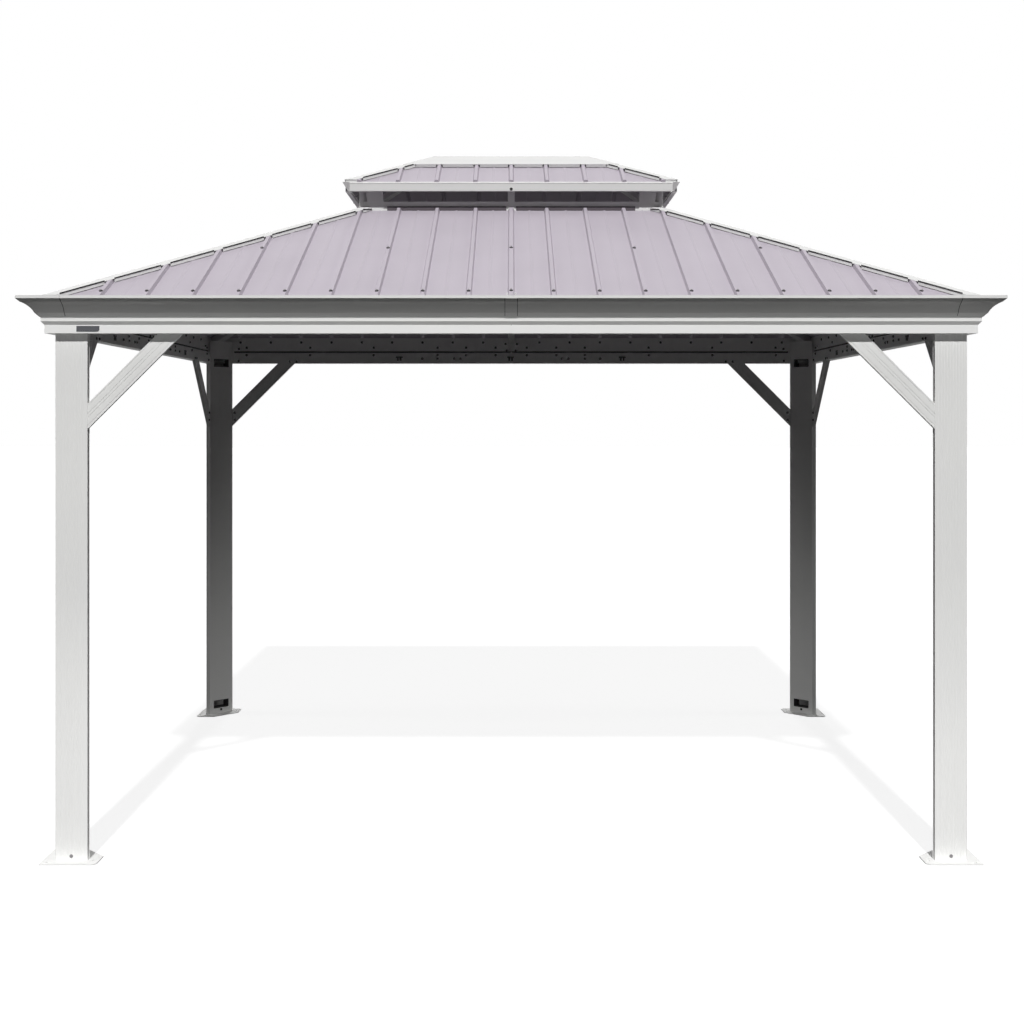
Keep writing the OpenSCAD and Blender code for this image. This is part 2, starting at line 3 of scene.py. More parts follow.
import bmesh
import bpy
from mathutils import Matrix, Vector
from mathutils.bvhtree import BVHTree


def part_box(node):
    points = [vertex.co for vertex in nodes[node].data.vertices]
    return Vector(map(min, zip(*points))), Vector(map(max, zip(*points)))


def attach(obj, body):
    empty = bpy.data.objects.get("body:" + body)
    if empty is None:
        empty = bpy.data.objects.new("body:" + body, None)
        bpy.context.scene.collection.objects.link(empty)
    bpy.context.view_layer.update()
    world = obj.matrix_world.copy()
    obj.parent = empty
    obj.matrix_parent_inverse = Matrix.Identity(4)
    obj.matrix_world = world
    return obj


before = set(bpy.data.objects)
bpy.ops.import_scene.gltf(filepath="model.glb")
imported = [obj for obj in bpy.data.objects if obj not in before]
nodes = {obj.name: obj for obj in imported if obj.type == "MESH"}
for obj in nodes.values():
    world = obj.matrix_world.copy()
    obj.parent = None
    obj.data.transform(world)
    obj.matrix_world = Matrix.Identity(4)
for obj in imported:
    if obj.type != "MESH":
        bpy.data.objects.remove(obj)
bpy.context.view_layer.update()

mm = 0.001
print("frame:", len(nodes), "CAD nodes")


def linear(hexColour):
    # sRGB hex to the linear colour that Blender's sockets take
    channels = [int(hexColour[i:i + 2], 16) / 255 for i in (1, 3, 5)]
    return tuple(c / 12.92 if c <= 0.04045 else ((c + 0.055) / 1.055) ** 2.4 for c in channels) + (1,)


def addNode(tree, kind, inputs=None, **settings):
    node = tree.nodes.new(kind)
    for name, value in settings.items():
        setattr(node, name, value)
    for socket, value in (inputs or {}).items():
        if isinstance(value, bpy.types.NodeSocket):
            tree.links.new(value, node.inputs[socket])
        else:
            node.inputs[socket].default_value = value
    return node


def startMaterial(name):
    # a new material with its nodes, its shader and the place on the object
    material = bpy.data.materials.new(name)
    material.use_nodes = True
    tree = material.node_tree
    place = addNode(tree, "ShaderNodeTexCoord").outputs["Object"]
    return material, tree, tree.nodes["Principled BSDF"], place


# Materials

powderCoat = {
    "pale": "#E6E6E4", "deep": "#DEDEDD",  # the two ends of the tone drift
    "driftMm": 420,  # length of the slow change of tone
    "peelMm": 5,  # orange peel is about 1 mm across, drawn coarser so that it shows
    "peelDepthMm": 0.05, "peelStrength": 0.35,
    "roughLow": 0.50, "roughHigh": 0.62,
    "specular": 0.14,
}
# the deeper steel and fascia tones are painted shade: darker copies of the one frame paint for the rafters,
# vent parts and fascia that stand in shade under the roof; the hip and ridge caps take the same deeper steel
# tone
steelPowderCoatPaintedShade = {**powderCoat, "pale": "#D8D8D7", "deep": "#CFCFCE", "roughLow": 0.55, "roughHigh": 0.68}
fasciaPowderCoatPaintedShade = {**powderCoat, "pale": "#D0D0CE", "deep": "#C8C8C7"}


def powderCoatedMetal(name, look):
    # Baked powder coat: a pale grey satin skin, a slow drift of tone along the bars, and the fine
    # orange peel that breaks up the broad highlight; on the steel and the fascia a deeper, duller copy,
    # whose deeper tone is painted shade
    material, tree, shader, place = startMaterial(name)
    drift = addNode(tree, "ShaderNodeTexNoise",
                    {"Vector": place, "Scale": 1 / (look["driftMm"] * mm), "Detail": 3.0})
    tone = addNode(tree, "ShaderNodeMix",
                   {0: drift.outputs["Fac"], 6: linear(look["deep"]), 7: linear(look["pale"])},
                   data_type="RGBA")
    peel = addNode(tree, "ShaderNodeTexNoise",
                   {"Vector": place, "Scale": 1 / (look["peelMm"] * mm), "Detail": 2.0})
    rough = addNode(tree, "ShaderNodeMapRange",
                    {"Value": peel.outputs["Fac"], "To Min": look["roughLow"], "To Max": look["roughHigh"]})
    bump = addNode(tree, "ShaderNodeBump",
                   {"Height": peel.outputs["Fac"], "Strength": look["peelStrength"],
                    "Distance": look["peelDepthMm"] * mm})
    tree.links.new(tone.outputs[2], shader.inputs["Base Color"])
    tree.links.new(rough.outputs["Result"], shader.inputs["Roughness"])
    tree.links.new(bump.outputs["Normal"], shader.inputs["Normal"])
    shader.inputs["Specular IOR Level"].default_value = look["specular"]
    return material


roofCoat = {
    "pale": "#B4ADB6", "deep": "#AAA3AC",
    "driftMm": 260,
    "waveAcrossMm": 95, "waveAlongMm": 700,  # oil canning: long shallow waves down the slope
    "waveDepthMm": 1.1, "waveStrength": 0.5,
    "speckMm": 3,  # the grain of the coil coat is finer, drawn coarser so that it shows
    "speckDepthMm": 0.02, "speckStrength": 0.3,
    "roughLow": 0.42, "roughHigh": 0.52,
    "specular": 0.15,
}


def coilCoatedSteel(name, look, across):
    # Coil-coated galvanised sheet, roll-formed: lilac grey and satin, with the long shallow waves
    # of thin sheet, which stretch the reflections down the slope
    material, tree, shader, place = startMaterial(name)
    wave = [look["waveAlongMm"]] * 3
    wave[across] = look["waveAcrossMm"]
    stretched = addNode(tree, "ShaderNodeMapping",
                        {"Vector": place, "Scale": [1 / (size * mm) for size in wave]})
    waves = addNode(tree, "ShaderNodeTexNoise",
                    {"Vector": stretched.outputs["Vector"], "Scale": 1.0, "Detail": 1.0})
    drift = addNode(tree, "ShaderNodeTexNoise",
                    {"Vector": place, "Scale": 1 / (look["driftMm"] * mm), "Detail": 4.0})
    speck = addNode(tree, "ShaderNodeTexNoise",
                    {"Vector": place, "Scale": 1 / (look["speckMm"] * mm), "Detail": 2.0})
    tone = addNode(tree, "ShaderNodeMix",
                   {0: drift.outputs["Fac"], 6: linear(look["deep"]), 7: linear(look["pale"])},
                   data_type="RGBA")
    rough = addNode(tree, "ShaderNodeMapRange",
                    {"Value": drift.outputs["Fac"], "To Min": look["roughLow"], "To Max": look["roughHigh"]})
    oilCan = addNode(tree, "ShaderNodeBump",
                     {"Height": waves.outputs["Fac"], "Strength": look["waveStrength"],
                      "Distance": look["waveDepthMm"] * mm})
    grain = addNode(tree, "ShaderNodeBump",
                    {"Height": speck.outputs["Fac"], "Strength": look["speckStrength"],
                     "Distance": look["speckDepthMm"] * mm, "Normal": oilCan.outputs["Normal"]})
    tree.links.new(tone.outputs[2], shader.inputs["Base Color"])
    tree.links.new(rough.outputs["Result"], shader.inputs["Roughness"])
    tree.links.new(grain.outputs["Normal"], shader.inputs["Normal"])
    shader.inputs["Specular IOR Level"].default_value = look["specular"]
    return material


zincPlate = {"pale": "#9C9A9B", "deep": "#7C7A7C", "bloomMm": 4, "roughLow": 0.32, "roughHigh": 0.5}
blackZincPlate = {"pale": "#3C3B3C", "deep": "#2A292A", "bloomMm": 4, "roughLow": 0.4, "roughHigh": 0.55}


def zincPlatedSteel(name, look):
    # Zinc-plated steel of screws and bolts: dull grey or blackened metal with a faint mottled bloom
    material, tree, shader, place = startMaterial(name)
    bloom = addNode(tree, "ShaderNodeTexNoise",
                    {"Vector": place, "Scale": 1 / (look["bloomMm"] * mm), "Detail": 3.0})
    tone = addNode(tree, "ShaderNodeMix",
                   {0: bloom.outputs["Fac"], 6: linear(look["deep"]), 7: linear(look["pale"])},
                   data_type="RGBA")
    rough = addNode(tree, "ShaderNodeMapRange",
                    {"Value": bloom.outputs["Fac"], "To Min": look["roughLow"], "To Max": look["roughHigh"]})
    tree.links.new(tone.outputs[2], shader.inputs["Base Color"])
    tree.links.new(rough.outputs["Result"], shader.inputs["Roughness"])
    shader.inputs["Metallic"].default_value = 1.0
    return material


# near-black rubber: real on the screw washers and curtain hooks; on the hip and joint seals, the strips
# beside the splice covers and the slot sleeves its dark is painted shade
sealRubberAndPaintedShade = {"pale": "#3A393A", "deep": "#262526", "grainMm": 2, "rough": 0.8, "specular": 0.3}
# the dark grey foam is painted shade: it stands where the upper roof shades the top of the lower sheets
closureFoamPaintedShade = {"pale": "#5C565B", "deep": "#514B50", "grainMm": 3, "rough": 0.9, "specular": 0.3}
plateEnamel = {"pale": "#55565A", "deep": "#494A4D", "grainMm": 3, "rough": 0.45, "specular": 0.3}


def mottledSkin(name, look):
    # Rubber is matt near-black with a dusty grain, foam a dull warm grey that takes no highlight,
    # and enamel a darker grey with a faint mottle under a soft sheen; the dark of the foam, the seal strips
    # and the sleeves is painted shade
    material, tree, shader, place = startMaterial(name)
    dust = addNode(tree, "ShaderNodeTexNoise",
                   {"Vector": place, "Scale": 1 / (look["grainMm"] * mm), "Detail": 2.0})
    tone = addNode(tree, "ShaderNodeMix",
                   {0: dust.outputs["Fac"], 6: linear(look["deep"]), 7: linear(look["pale"])},
                   data_type="RGBA")
    tree.links.new(tone.outputs[2], shader.inputs["Base Color"])
    shader.inputs["Roughness"].default_value = look["rough"]
    shader.inputs["Specular IOR Level"].default_value = look["specular"]
    return material


frameCoat = powderCoatedMetal("powder_coated_aluminium", powderCoat)
steelCoatPaintedShade = powderCoatedMetal("powder_coated_steel_painted_shade", steelPowderCoatPaintedShade)
fasciaCoatPaintedShade = powderCoatedMetal("powder_coated_fascia_painted_shade", fasciaPowderCoatPaintedShade)
roofFront = coilCoatedSteel("coil_coated_steel_front_back", roofCoat, across=0)
roofSide = coilCoatedSteel("coil_coated_steel_sides", roofCoat, across=1)
zinc = zincPlatedSteel("zinc_plated_steel", zincPlate)
darkZinc = zincPlatedSteel("black_zinc_plated_steel", blackZincPlate)
rubberAndPaintedShade = mottledSkin("epdm_rubber_and_painted_shade", sealRubberAndPaintedShade)
foamCoatPaintedShade = mottledSkin("grey_foam_painted_shade", closureFoamPaintedShade)
plateCoat = mottledSkin("dark_enamelled_plate", plateEnamel)

# nodes that take the deeper steel coat, painted shade for the steel inside the roof
steelNodesPaintedShade = ("rafter", "purlin", "ridge_beam", "vent_", "strut", "hip_caps", "ridge_cap")
for nodeName, node in nodes.items():
    coat = frameCoat
    if nodeName.endswith("_roof") or nodeName == "roof_seam_covers":
        coat = roofSide if "left" in nodeName or "right" in nodeName else roofFront
    elif any(word in nodeName for word in steelNodesPaintedShade):
        coat = steelCoatPaintedShade
    elif nodeName.startswith("upper_fascia"):
        coat = fasciaCoatPaintedShade
    node.data.materials.clear()
    node.data.materials.append(coat)
print("materials:", len(bpy.data.materials))

# Camera, light and floor

photoSize = 1024  # pixels
camera = {"focalPx": 1380, "horizonPx": 421, "middlePx": 511.2, "back": 6.534, "height": 1.655,
          "sensorMm": 36}
eye = bpy.data.objects.new("camera", bpy.data.cameras.new("camera"))
bpy.context.scene.collection.objects.link(eye)
eye.location = (0, -camera["back"], camera["height"])
eye.rotation_euler = (math.radians(90), 0, 0)
eye.data.sensor_width = camera["sensorMm"]
eye.data.lens = camera["sensorMm"] * camera["focalPx"] / photoSize
eye.data.shift_x = (photoSize / 2 - camera["middlePx"]) / photoSize
eye.data.shift_y = (camera["horizonPx"] - photoSize / 2) / photoSize
bpy.context.scene.camera = eye

lamps = {  # name: strength, degrees round from the front, degrees up, degrees wide
    "key": (3.3, 0, 44, 2),
    "fillLeft": (0.5, -90, 24, 15),
    "fillRight": (0.5, 90, 24, 15),
    "fillBack": (1.7, 180, 13, 10),
}
for lampName, (strength, around, up, wide) in lamps.items():
    lamp = bpy.data.objects.new(lampName, bpy.data.lights.new(lampName, "SUN"))
    bpy.context.scene.collection.objects.link(lamp)
    lamp.data.energy = strength
    lamp.data.angle = math.radians(wide)
    lamp.rotation_euler = (math.radians(90 - up), 0, math.radians(around))

# Strip lamps with a narrow beam: two give the feet of the posts the glow of the floor, one the eave
stripLamp = {"long": 4.0, "wide": 0.1}  # metres
stripLamps = {  # name: watts, metres in front of the middle, metres up, degrees down, degrees of spread
    "lowFront": (3.0, 4.0, 1.1, 20, 40),
    "lowInside": (1.1, 1.0, 1.4, 25, 50),
    "underEave": (0.3, 3.2, 0.5, -39.6, 6),
}
for lampName, (watts, ahead, up, tilt, spread) in stripLamps.items():
    lamp = bpy.data.objects.new(lampName, bpy.data.lights.new(lampName, "AREA"))
    bpy.context.scene.collection.objects.link(lamp)
    lamp.data.energy = watts
    lamp.data.shape = "RECTANGLE"
    lamp.data.size, lamp.data.size_y = stripLamp["long"], stripLamp["wide"]
    lamp.data.spread = math.radians(spread)
    lamp.location = (0, -ahead, up)
    lamp.rotation_euler = (math.radians(90 - tilt), 0, 0)
    lamp.visible_camera = lamp.visible_glossy = False

studio = {
    "zenith": 0.25, "horizon": 0.03,  # strength of the soft light from above and from the sides
    "floorGlow": 0.82, "floorShade": 0.25,  # what the floor shows, without and with the lamps
    "floorBounce": 0.03, "floorSpan": 160,
}
white = (1, 1, 1, 1)
world = bpy.data.worlds.new("studio")
bpy.context.scene.world = world
world.use_nodes = True
sky = world.node_tree
sky.nodes.clear()


def seenDirectly(tree):
    # 1 where the eye, a reflection or a glass sees the backdrop itself, 0 where it only gives light
    path = addNode(tree, "ShaderNodeLightPath")
    eyeOrGloss = addNode(tree, "ShaderNodeMath",
                         {0: path.outputs["Is Camera Ray"], 1: path.outputs["Is Glossy Ray"]},
                         operation="MAXIMUM")
    return addNode(tree, "ShaderNodeMath",
                   {0: eyeOrGloss.outputs[0], 1: path.outputs["Is Transmission Ray"]},
                   operation="MAXIMUM").outputs[0]


skyPlace = addNode(sky, "ShaderNodeTexCoord")
skyAxes = addNode(sky, "ShaderNodeSeparateXYZ", {"Vector": skyPlace.outputs["Generated"]})
skyLevel = addNode(sky, "ShaderNodeMapRange",
                   {"Value": skyAxes.outputs["Z"], "To Min": studio["horizon"], "To Max": studio["zenith"]})
softLight = addNode(sky, "ShaderNodeBackground", {"Color": white, "Strength": skyLevel.outputs["Result"]})
whiteBack = addNode(sky, "ShaderNodeBackground", {"Color": white, "Strength": 1.0})
skyMix = addNode(sky, "ShaderNodeMixShader",
                 {0: seenDirectly(sky), 1: softLight.outputs[0], 2: whiteBack.outputs[0]})
addNode(sky, "ShaderNodeOutputWorld", {"Surface": skyMix.outputs[0]})

bpy.ops.object.select_all(action="DESELECT")
bpy.ops.mesh.primitive_plane_add(size=studio["floorSpan"])
floor = bpy.context.object
floor.name = "floor"
# White paper floor: shows as white to the eye, and darkens only where the lamps don't reach
paper = bpy.data.materials.new("white_paper_floor")
paper.use_nodes = True
ground = paper.node_tree
ground.nodes.clear()
glow = addNode(ground, "ShaderNodeEmission", {"Color": white, "Strength": studio["floorGlow"]})
shade = addNode(ground, "ShaderNodeBsdfDiffuse", {"Color": (studio["floorShade"],) * 3 + (1,)})
shown = addNode(ground, "ShaderNodeAddShader", {0: glow.outputs[0], 1: shade.outputs[0]})
bounce = addNode(ground, "ShaderNodeBsdfDiffuse", {"Color": (studio["floorBounce"],) * 3 + (1,)})
groundMix = addNode(ground, "ShaderNodeMixShader",
                    {0: seenDirectly(ground), 1: bounce.outputs[0], 2: shown.outputs[0]})
addNode(ground, "ShaderNodeOutputMaterial", {"Surface": groundMix.outputs[0]})
floor.data.materials.append(paper)
bpy.context.scene.view_settings.view_transform = "Standard"
print("camera, lamps and floor set")

# Places on the object, in mm

postLow, postHigh = (Vector(corner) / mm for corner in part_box("post_front_left"))
postWide = postHigh.x - postLow.x
halfLong, halfDeep = -postLow.x, -postLow.y
sides = {  # along it as seen from outside, outwards, half the run between post corners, centre to post face
    "front": (Vector((1, 0, 0)), Vector((0, -1, 0)), halfLong, halfDeep),
    "right": (Vector((0, 1, 0)), Vector((1, 0, 0)), halfDeep, halfLong),
    "back": (Vector((-1, 0, 0)), Vector((0, 1, 0)), halfLong, halfDeep),
    "left": (Vector((0, -1, 0)), Vector((-1, 0, 0)), halfDeep, halfLong),
}
lookFrom = {"outside": -300, "inside": 400, "above": 3200}  # where a ray that seeks a surface starts
roofRibs = {"first": 160, "pitch": 173}  # on the left and right slopes the first is a pitch from the middle
down = Vector((0, 0, -1))
trees = {}


def onSide(side, along, inside, height):
    # a point of a side: along it from its middle, inwards from the post faces, and up
    run, out, half, reach = sides[side]
    return (run * along + out * (reach - inside) + Vector((0, 0, height))) * mm


def insideOf(side, point):
    # how far inwards from the post faces of a side a point lies
    run, out, half, reach = sides[side]
    return reach - point.dot(out) / mm


def bothWays(distances):
    return [sign * distance for distance in distances for sign in (-1, 1)]


def ribsOf(side, limit):
    # where the ribs of a slope run, outwards from its middle
    first = roofRibs["first"] if side in ("front", "back") else roofRibs["pitch"]
    return list(range(first, int(limit), roofRibs["pitch"]))


def meet(start, way, *nodeNames):
    # where a ray first meets these CAD nodes: the point and the way out of the surface, or None
    best = None
    for nodeName in nodeNames:
        if nodeName not in trees:
            mesh = nodes[nodeName].data
            trees[nodeName] = BVHTree.FromPolygons([v.co for v in mesh.vertices],
                                                   [p.vertices for p in mesh.polygons])
        point, normal, _, distance = trees[nodeName].ray_cast(start, way)
        if point and (best is None or distance < best[2]):
            best = (point, normal if normal.dot(way) < 0 else -normal, distance)
    return best and best[:2]


# Modelling helpers

facing = 0.9  # a face whose normal has this much of an axis faces that way


def startPiece(addPrimitive, **settings):
    bpy.ops.object.select_all(action="DESELECT")
    addPrimitive(**settings)
    return bpy.context.object


def startBlock(size, middle):
    # a block of this size in mm round a point, ready to shape
    block = startPiece(bpy.ops.mesh.primitive_cube_add, size=mm, location=[place * mm for place in middle])
    bpy.ops.transform.resize(value=size)
    bpy.ops.object.transform_apply(location=True, scale=True)
    return block


def pickFaces(test):
    # in edit mode, selects the faces whose centre and normal pass the test
    bpy.ops.mesh.select_all(action="DESELECT")
    mesh = bmesh.from_edit_mesh(bpy.context.object.data)
    for face in mesh.faces:
        face.select_set(test(face.calc_center_median(), face.normal))
    bmesh.update_edit_mesh(bpy.context.object.data)


def pickEdges(test):
    # in edit mode, selects the edges whose two ends pass the test
    bpy.ops.mesh.select_all(action="DESELECT")
    mesh = bmesh.from_edit_mesh(bpy.context.object.data)
    for edge in mesh.edges:
        edge.select_set(test(edge.verts[0].co, edge.verts[1].co))
    bmesh.update_edit_mesh(bpy.context.object.data)


def pushOut(x, y, z):
    # extrudes what is selected, in mm
    bpy.ops.mesh.extrude_region_move(TRANSFORM_OT_translate={"value": (x * mm, y * mm, z * mm)})


def finishWith(piece, kind, **settings):
    # adds a modifier and applies it
    modifier = piece.modifiers.new(kind.lower(), kind)
    for name, value in settings.items():
        setattr(modifier, name, value)
    bpy.ops.object.modifier_apply(modifier=modifier.name)


def joinPieces(name, pieces):
    bpy.ops.object.select_all(action="DESELECT")
    for piece in pieces:
        piece.select_set(True)
    bpy.context.view_layer.objects.active = pieces[0]
    if len(pieces) > 1:
        bpy.ops.object.join()
    joined = bpy.context.object
    bpy.ops.object.transform_apply(location=True, rotation=True, scale=True)
    joined.name = joined.data.name = name
    return joined


def copyTo(pattern, place):
    copy = pattern.copy()
    copy.data = pattern.data.copy()
    copy.data.transform(place)
    bpy.context.scene.collection.objects.link(copy)
    return copy


def keepPiece(piece):
    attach(piece, "root")


def setOut(name, pattern, places):
    # one copy of the pattern at each place, a point with the way out of its surface, as one piece
    copies = [copyTo(pattern, Matrix.Translation(point) @ out.to_track_quat("Z", "Y").to_matrix().to_4x4())
              for point, out in places]
    keepPiece(joinPieces(name, copies))


# Screws and bolts, each modelled once, standing on the origin

roofScrew = {"sealMm": 7.5, "sealThickMm": 1.6, "flangeMm": 5.6, "flangeThickMm": 1.0,
             "headMm": 4.4, "headHighMm": 4.2, "chamferMm": 0.8}
boltHead = {"washerMm": 7.0, "washerThickMm": 1.4, "headMm": 5.2, "headHighMm": 3.6,
            "chamferMm": 0.9, "socketMm": 1.6}


def turnedDisc(radius, thick, step, rise, sidesRound=12):
    # a disc with a smaller disc standing on it
    disc = startPiece(bpy.ops.mesh.primitive_cylinder_add, vertices=sidesRound, radius=radius * mm,
                      depth=thick * mm, location=(0, 0, thick / 2 * mm))
    bpy.ops.object.mode_set(mode="EDIT")
    pickFaces(lambda centre, normal: normal.z > facing)
    bpy.ops.mesh.inset(thickness=step * mm)
    pushOut(0, 0, rise)
    bpy.ops.object.mode_set(mode="OBJECT")
    return disc


def hexHead(radius, foot, high, chamfer):
    # a six-sided head whose top edge is cut back
    straight = high - chamfer
    head = startPiece(bpy.ops.mesh.primitive_cylinder_add, vertices=6, radius=radius * mm,
                      depth=straight * mm, location=(0, 0, (foot + straight / 2) * mm))
    bpy.ops.object.mode_set(mode="EDIT")
    pickFaces(lambda centre, normal: normal.z > facing)
    pushOut(0, 0, chamfer)
    bpy.ops.transform.resize(value=((radius - chamfer) / radius,) * 2 + (1,))
    bpy.ops.object.mode_set(mode="OBJECT")
    return head


def makeRoofScrew(size):
    seal = turnedDisc(size["sealMm"], size["sealThickMm"], size["sealMm"] - size["flangeMm"],
                      size["flangeThickMm"])
    head = hexHead(size["headMm"], size["sealThickMm"] + size["flangeThickMm"], size["headHighMm"],
                   size["chamferMm"])
    seal.data.materials.append(rubberAndPaintedShade)
    head.data.materials.append(zinc)
    return joinPieces("roof_screw", [seal, head])


def makeBolt(size, coat):
    halfThick = size["washerThickMm"] / 2
    washer = turnedDisc(size["washerMm"], halfThick, size["chamferMm"], halfThick)
    head = hexHead(size["headMm"], size["washerThickMm"], size["headHighMm"], size["chamferMm"])
    bpy.ops.object.mode_set(mode="EDIT")
    pickFaces(lambda centre, normal: normal.z > facing)
    bpy.ops.mesh.inset(thickness=size["socketMm"] * mm)
    pushOut(0, 0, -size["socketMm"])
    bpy.ops.object.mode_set(mode="OBJECT")
    for part in (washer, head):
        part.data.materials.append(coat)
    return joinPieces("bolt", [washer, head])


screw = makeRoofScrew(roofScrew)
bolt = makeBolt(boltHead, darkZinc)
paleBolt = makeBolt(boltHead, zinc)

# Roof screws: one on every rib at the eave, and on every third rib half way up the slope

roofScrews = {"eaveInside": 7, "middleInside": 490, "middleFirst": 2, "middleEvery": 3}
for side, (run, out, half, reach) in sides.items():
    ribs = ribsOf(side, half)
    middleRibs = ribs[roofScrews["middleFirst"]::roofScrews["middleEvery"]]
    places = []
    for row, inside in ((ribs, roofScrews["eaveInside"]), (middleRibs, roofScrews["middleInside"])):
        for along in [0] + bothWays(row):
            start = onSide(side, along, inside, lookFrom["above"])
            seat = meet(start, down, side + "_roof", "roof_seam_covers")
            if seat and not meet(start, down, "lower_hip_caps"):
                places.append(seat)
    setOut(side + "_roof_screws", screw, places)
print("roof screws set")

# Bolts that hold the frame: post feet, beams, gutter and braces

frameBolts = {
    "postEdge": 61, "footHigh": 20,  # outside, on the foot of each post
    "cornerInset": 161, "cornerHigh": (1997, 2066),  # next to the posts
    "braceAlong": (330, 369), "braceHigh": 1993,  # upper ends of the braces, from the post
    "postInset": 138, "postHigh": (1662, 1702),  # lower ends of the braces
    "gutterHigh": 2103,  # one under each rib
    "seamAlong": (89, 257, 420, 784, 1146, 1508), "seamHigh": (2030, 2073),  # below and above the joint
    "clipAlong": (290, 325, 420, 507), "clipHigh": 2010,  # low on the beam
    "rafterFoot": ((0, 2091), (-33, 2094), (33, 2094), (-26, 2056), (26, 2056)),
}
posts = [name for name in nodes if name.startswith("post_") and name != "post_covers"]
for side, (run, out, half, reach) in sides.items():
    feet = [meet(onSide(side, along, lookFrom["outside"], frameBolts["footHigh"]), -out, *posts)
            for along in bothWays([half - frameBolts["postEdge"]])]
    setOut(side + "_foot_bolts", paleBolt, feet)
    wall = (side + "_beam", side + "_gutter")
    clear = half - frameBolts["cornerInset"]
    rows = [  # from the middle, up, and the nodes that carry them
        ([clear], frameBolts["cornerHigh"], wall),
        ([half - postWide - away for away in frameBolts["braceAlong"]], [frameBolts["braceHigh"]], wall),
        ([half - frameBolts["postInset"]], frameBolts["postHigh"], [side + "_knee_braces"]),
        (frameBolts["clipAlong"], [frameBolts["clipHigh"]], wall),
        ([along for along in frameBolts["seamAlong"] if along < clear], frameBolts["seamHigh"], wall),
        (ribsOf(side, clear), [frameBolts["gutterHigh"]], wall),
    ]
    spots = [(along, high, carriers) for row, highs, carriers in rows
             for along in bothWays(row) for high in highs]
    spots += [(along, high, wall) for along, high in frameBolts["rafterFoot"]]
    seats = [meet(onSide(side, along, lookFrom["inside"], high), out, *carriers)
             for along, high, carriers in spots]
    setOut(side + "_frame_bolts", bolt, [seat for seat in seats if seat])
print("frame bolts set")

# Bars cut to length: a seal, a closure or a strip between two points


def makeBar(deep, tall, edge, coat):
    # one metre along X, its top at the origin, its back on the XZ plane; rounded along its length
    bar = startBlock((1 / mm, deep, tall), (0, -deep / 2, -tall / 2))
    bpy.ops.object.mode_set(mode="EDIT")
    pickEdges(lambda one, other: one.x * other.x < 0 and one.y < -deep / 2 * mm)
    bpy.ops.mesh.bevel(offset=edge * mm, segments=2)
    bpy.ops.object.mode_set(mode="OBJECT")
    bar.data.materials.append(coat)
    return joinPieces("bar", [bar])


def layBars(name, pattern, spans):
    # one copy of the bar from start to end of each span, its front turned the way out of what it lies on
    copies = []
    for start, end, out in spans:
        along = (end - start).normalized()
        back = along.cross(-out).cross(along).normalized()
        turn = Matrix((along, back, along.cross(back))).transposed().to_4x4()
        stretch = Matrix.Diagonal(((end - start).length, 1, 1, 1))
        copies.append(copyTo(pattern, Matrix.Translation((start + end) / 2) @ turn @ stretch))
    keepPiece(joinPieces(name, copies))


# Dark seals under the edges of the hip caps, cut out round the ribs: a painted shadow line under each cap's
# edge

hipShadowSeal = {"barMm": (1.8, 5, 0.6), "capWide": 50, "inFromEdge": 2, "capThick": 1.65, "ribClear": 15,
           "lower": (-24, 1036), "upper": (980, 1212),  # how far inside the caps of each roof start and end
           "shortest": 12}
seal = makeBar(*hipShadowSeal["barMm"], rubberAndPaintedShade)


def sealTop(side, roof, end, along):
    # the underside of a hip cap at its edge, or None beyond its ends
    inside = sides[side][2] - hipShadowSeal["capWide"] - along
    over = meet(onSide(side, end * (along + hipShadowSeal["inFromEdge"]), inside, lookFrom["above"]), down,
                roof + "_hip_caps")
    return over and onSide(side, end * along, inside, over[0].z / mm - hipShadowSeal["capThick"])


for side, (run, out, half, reach) in sides.items():
    spans = []
    for roof in ("lower", "upper"):
        near, far = (half - hipShadowSeal["capWide"] - inside for inside in hipShadowSeal[roof])
        cuts = [rib + clear for rib in ribsOf(side, near) if far < rib < near
                for clear in (-hipShadowSeal["ribClear"], hipShadowSeal["ribClear"])]
        cuts = sorted([far, near] + cuts)
        for end in (-1, 1):
            for here, there in zip(cuts[0::2], cuts[1::2]):
                tops = [sealTop(side, roof, end, along) for along in (here, there)]
                if all(tops) and there - here > hipShadowSeal["shortest"]:
                    spans.append((*tops[::-end], (out - run * end).normalized()))
    layBars(side + "_hip_painted_shadow_seals", seal, spans)
print("hip seals set")

# Closures of the upper roof: caps on the ends of the ribs and hip caps, bolts through the fascia

upperRoof = {"boltHigh": 2690, "boltFrom": 700, "foot": 977, "onCrest": 973.5, "endBelow": 4.2,
             "capMm": (24.4, 2, 15.6), "crestShare": 0.59, "edgeMm": 0.3,
             "hipEndInside": 975, "hipEndMm": (2, 16, 0.5), "hipEndWide": 48}


def makeRibCap(size):
    # closes the end of a rib: wide at the pan, narrow at the crest; Z is out of the sheet, Y up the slope
    cap = startBlock(size["capMm"], (0, -size["endBelow"], -size["capMm"][2] / 2))
    bpy.ops.object.mode_set(mode="EDIT")
    pickFaces(lambda centre, normal: normal.z > facing)
    bpy.ops.transform.resize(value=(size["crestShare"], 1, 1))
    bpy.ops.object.mode_set(mode="OBJECT")
    finishWith(cap, "BEVEL", width=size["edgeMm"] * mm)
    cap.data.materials.append(roofFront)
    return joinPieces("rib_cap", [cap])


